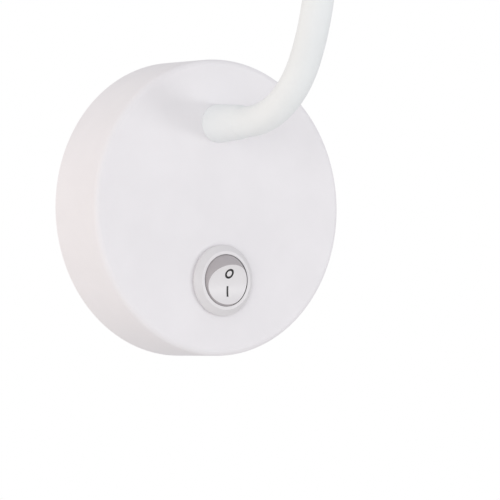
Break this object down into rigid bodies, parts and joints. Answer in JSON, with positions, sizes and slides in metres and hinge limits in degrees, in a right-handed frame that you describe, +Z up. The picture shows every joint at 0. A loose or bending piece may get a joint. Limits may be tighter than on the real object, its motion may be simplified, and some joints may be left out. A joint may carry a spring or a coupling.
{
  "type": "flexible wall lamp",
  "caption": "Wall-mounted reading lamp: round white base with a rocker switch, silicone-covered flexible neck that holds its bend, and a small LED spot head.",
  "frame": {"origin": "centre of the round base's back, on the wall", "axes": "the wall is the plane y = 0 and the lamp stands out towards -Y; +Z up, +X to the right seen from the front"},
  "size_m": [0.1, 0.2961, 0.2509],
  "materials": {
    "white_paint": "fine matt white powder coat",
    "white_plastic": "moulded white plastic, satin",
    "silicone": "smooth matt white silicone",
    "zinc_steel": "zinc-plated steel",
    "core_steel": "wound steel gooseneck core",
    "brass": "bright brass",
    "grey_rubber": "grey rubber",
    "brown_lead": "brown lead insulation",
    "blue_lead": "blue lead insulation",
    "grey_lead": "dark lead insulation",
    "heat_sink": "turned aluminium",
    "board": "white solder mask on an aluminium board",
    "phosphor": "yellow phosphor under clear silicone",
    "lens": "clear moulded lens"
  },
  "bodies": {
    "base": {"base_cover": "white_paint", "mounting_plate": "zinc_steel", "cover_screws": "zinc_steel", "cable_bush": "grey_rubber", "terminal_block": "white_plastic", "terminal_inserts": "brass", "terminal_screws": "zinc_steel", "block_screw": "zinc_steel", "led_driver": "white_plastic", "live_lead": "brown_lead", "switched_lead": "brown_lead", "neutral_lead": "blue_lead", "output_lead": "grey_lead", "switch_housing": "white_plastic", "switch_base": "white_plastic", "switch_terminals": "brass", "neck_fitting": "zinc_steel", "neck_washer": "zinc_steel", "neck_nut": "zinc_steel", "neck_collar": "silicone", "neck_core_0": "core_steel"},
    "rocker": {"rocker": "white_plastic", "rocker_plunger": "white_plastic", "rocker_spring": "zinc_steel"},
    "contact_lever": {"contact_lever": "brass"},
    "neck_1": {"neck_core_1": "core_steel", "neck_sleeve_1": "silicone", "neck_lead_1": "grey_lead"},
    "neck_2": {"neck_core_2": "core_steel", "neck_sleeve_2": "silicone", "neck_lead_2": "grey_lead"},
    "neck_3": {"neck_core_3": "core_steel", "neck_sleeve_3": "silicone", "neck_lead_3": "grey_lead"},
    "neck_4": {"neck_core_4": "core_steel", "neck_sleeve_4": "silicone", "neck_lead_4": "grey_lead"},
    "neck_5": {"neck_core_5": "core_steel", "neck_sleeve_5": "silicone", "neck_lead_5": "grey_lead"},
    "neck_6": {"neck_core_6": "core_steel", "neck_sleeve_6": "silicone", "neck_lead_6": "grey_lead"},
    "head": {"neck_core_7": "core_steel", "neck_sleeve_7": "silicone", "neck_lead_7": "grey_lead", "head_fitting": "zinc_steel", "head_washer": "zinc_steel", "head_nut": "zinc_steel", "head_collar": "silicone", "head_shell": "white_paint", "head_lead": "grey_lead", "heat_sink": "heat_sink", "led_board": "board", "board_screws": "zinc_steel", "led": "phosphor", "lens_spacer": "white_plastic", "lens": "lens", "front_ring": "white_paint"}
  },
  "joints": [
    {"name": "flex_1", "type": "hinge", "parent": "base", "child": "neck_1", "pos_m": [0, -0.06121, 0.03338], "axis": [1, 0, 0], "range_deg": [-22, 22], "deforming": ["neck_sleeve_1", "neck_lead_1"]},
    {"name": "flex_2", "type": "hinge", "parent": "neck_1", "child": "neck_2", "pos_m": [0, -0.08308, 0.06565], "axis": [0, 0.9627, 0.2706], "range_deg": [-25, 25], "deforming": ["neck_sleeve_2", "neck_lead_2"]},
    {"name": "flex_3", "type": "hinge", "parent": "neck_2", "child": "neck_3", "pos_m": [0, -0.08667, 0.10537], "axis": [1, 0, 0], "range_deg": [-22, 22], "deforming": ["neck_sleeve_3", "neck_lead_3"]},
    {"name": "flex_4", "type": "hinge", "parent": "neck_3", "child": "neck_4", "pos_m": [0, -0.09204, 0.14488], "axis": [0, 0.9511, 0.309], "range_deg": [-25, 25], "deforming": ["neck_sleeve_4", "neck_lead_4"]},
    {"name": "flex_5", "type": "hinge", "parent": "neck_4", "child": "neck_5", "pos_m": [0, -0.11299, 0.17841], "axis": [1, 0, 0], "range_deg": [-22, 22], "deforming": ["neck_sleeve_5", "neck_lead_5"]},
    {"name": "flex_6", "type": "hinge", "parent": "neck_5", "child": "neck_6", "pos_m": [0, -0.14872, 0.19507], "axis": [0, 0.1392, 0.9903], "range_deg": [-25, 25], "deforming": ["neck_sleeve_6", "neck_lead_6"]},
    {"name": "flex_7", "type": "hinge", "parent": "neck_6", "child": "head", "pos_m": [0, -0.18802, 0.19006], "axis": [1, 0, 0], "range_deg": [-22, 22], "deforming": ["neck_sleeve_7", "neck_lead_7"]},
    {"name": "rocker_press", "type": "hinge", "parent": "base", "child": "rocker", "pos_m": [0, -0.023, -0.0246], "axis": [1, 0, 0], "range_deg": [-24, 0]},
    {"name": "lever_rock", "type": "hinge", "parent": "base", "child": "contact_lever", "pos_m": [0, -0.01405, -0.0246], "axis": [1, 0, 0], "range_deg": [0, 11]}
  ],
  "couplings": [
    {"joint": "lever_rock", "follows": "rocker_press", "ratio": -0.45833}
  ]
}
